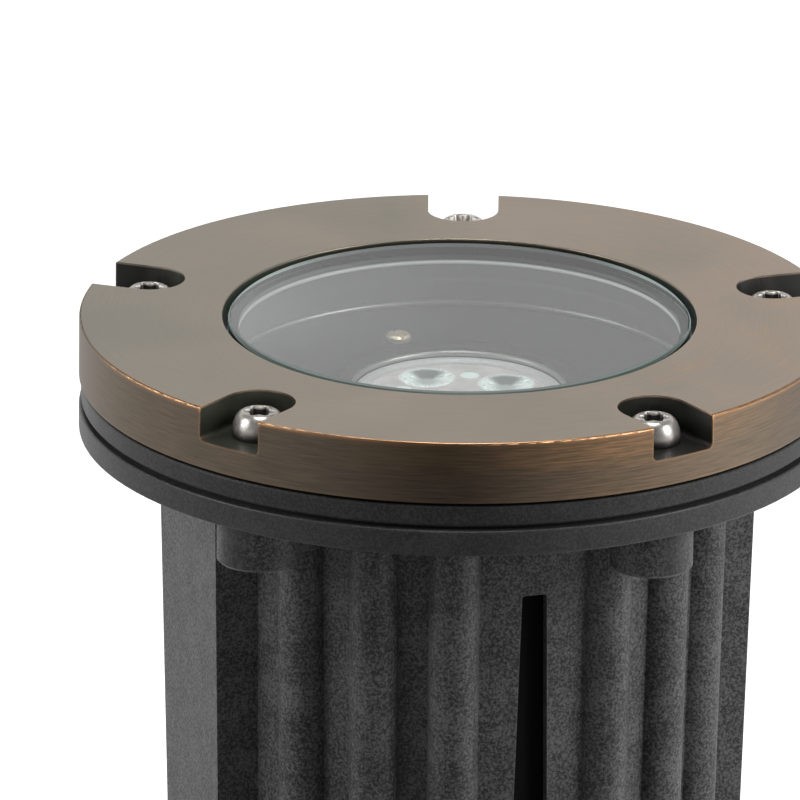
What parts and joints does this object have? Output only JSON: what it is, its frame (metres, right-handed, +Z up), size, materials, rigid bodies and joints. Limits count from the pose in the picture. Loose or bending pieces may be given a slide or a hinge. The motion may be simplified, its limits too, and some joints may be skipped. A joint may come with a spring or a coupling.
{
  "type": "in-ground well light",
  "caption": "Round in-ground well light: a cast ring holds a stepped glass lens on a sealed canister in a ribbed ground sleeve, with an aimable lamp under the glass.",
  "frame": {"origin": "centre of the sleeve's foot, on the ground it stands on", "axes": "+Z up along the light's axis, out through the glass; -Y towards the viewer of the picture, midway between two cover screws; +X to the viewer's right"},
  "size_m": [0.1778, 0.1778, 0.216],
  "materials": {
    "bronze": "weathered cast bronze, brushed, brown and grey-green patina",
    "stainless": "satin stainless steel",
    "glass": "clear tempered glass with a polished edge",
    "silicone": "translucent silicone",
    "gasket_rubber": "black rubber",
    "canister_black": "smooth black moulding",
    "sleeve_black": "fine-grained black moulding",
    "brass": "turned brass",
    "black_enamel": "semi-matt black enamel",
    "white_plastic": "white moulding",
    "lamp_metal": "satin aluminium",
    "optic": "clear moulded optic",
    "phosphor": "yellow phosphor",
    "ceramic": "unglazed ceramic",
    "gland_black": "black moulded nylon"
  },
  "bodies": {
    "housing": {"cover_ring": "bronze", "cover_screws": "stainless", "glass_lens": "glass", "lens_seal": "silicone", "cover_gasket": "gasket_rubber", "canister": "canister_black", "flange_gasket": "gasket_rubber", "ground_sleeve": "sleeve_black", "threaded_inserts": "brass", "snap_ring": "stainless", "gland_body": "gland_black", "gland_washer": "gasket_rubber", "gland_locknut": "gland_black", "gland_seal": "gasket_rubber", "gland_nut": "gland_black"},
    "swivel": {"swivel_plate": "black_enamel", "pivot_blocks": "black_enamel", "block_screws": "brass"},
    "gimbal": {"gimbal_ring": "black_enamel", "pivot_screws": "brass", "pivot_washers": "white_plastic", "lamp_clip": "stainless", "lamp_bezel": "lamp_metal", "lamp_optic": "optic", "led_board": "white_plastic", "led_chips": "phosphor", "heat_sink": "lamp_metal", "lamp_base": "white_plastic", "lamp_pins": "stainless", "lamp_socket": "ceramic", "socket_contacts": "brass"}
  },
  "joints": [
    {"name": "lamp_swivel", "type": "hinge", "parent": "housing", "child": "swivel", "pos_m": [0, 0, 0.1917], "axis": [0, 0, 1], "range_deg": [-180, 180]},
    {"name": "lamp_tilt", "type": "hinge", "parent": "swivel", "child": "gimbal", "pos_m": [0, 0, 0.182], "axis": [-0.4226, 0.9063, 0], "range_deg": [-20, 20]}
  ]
}
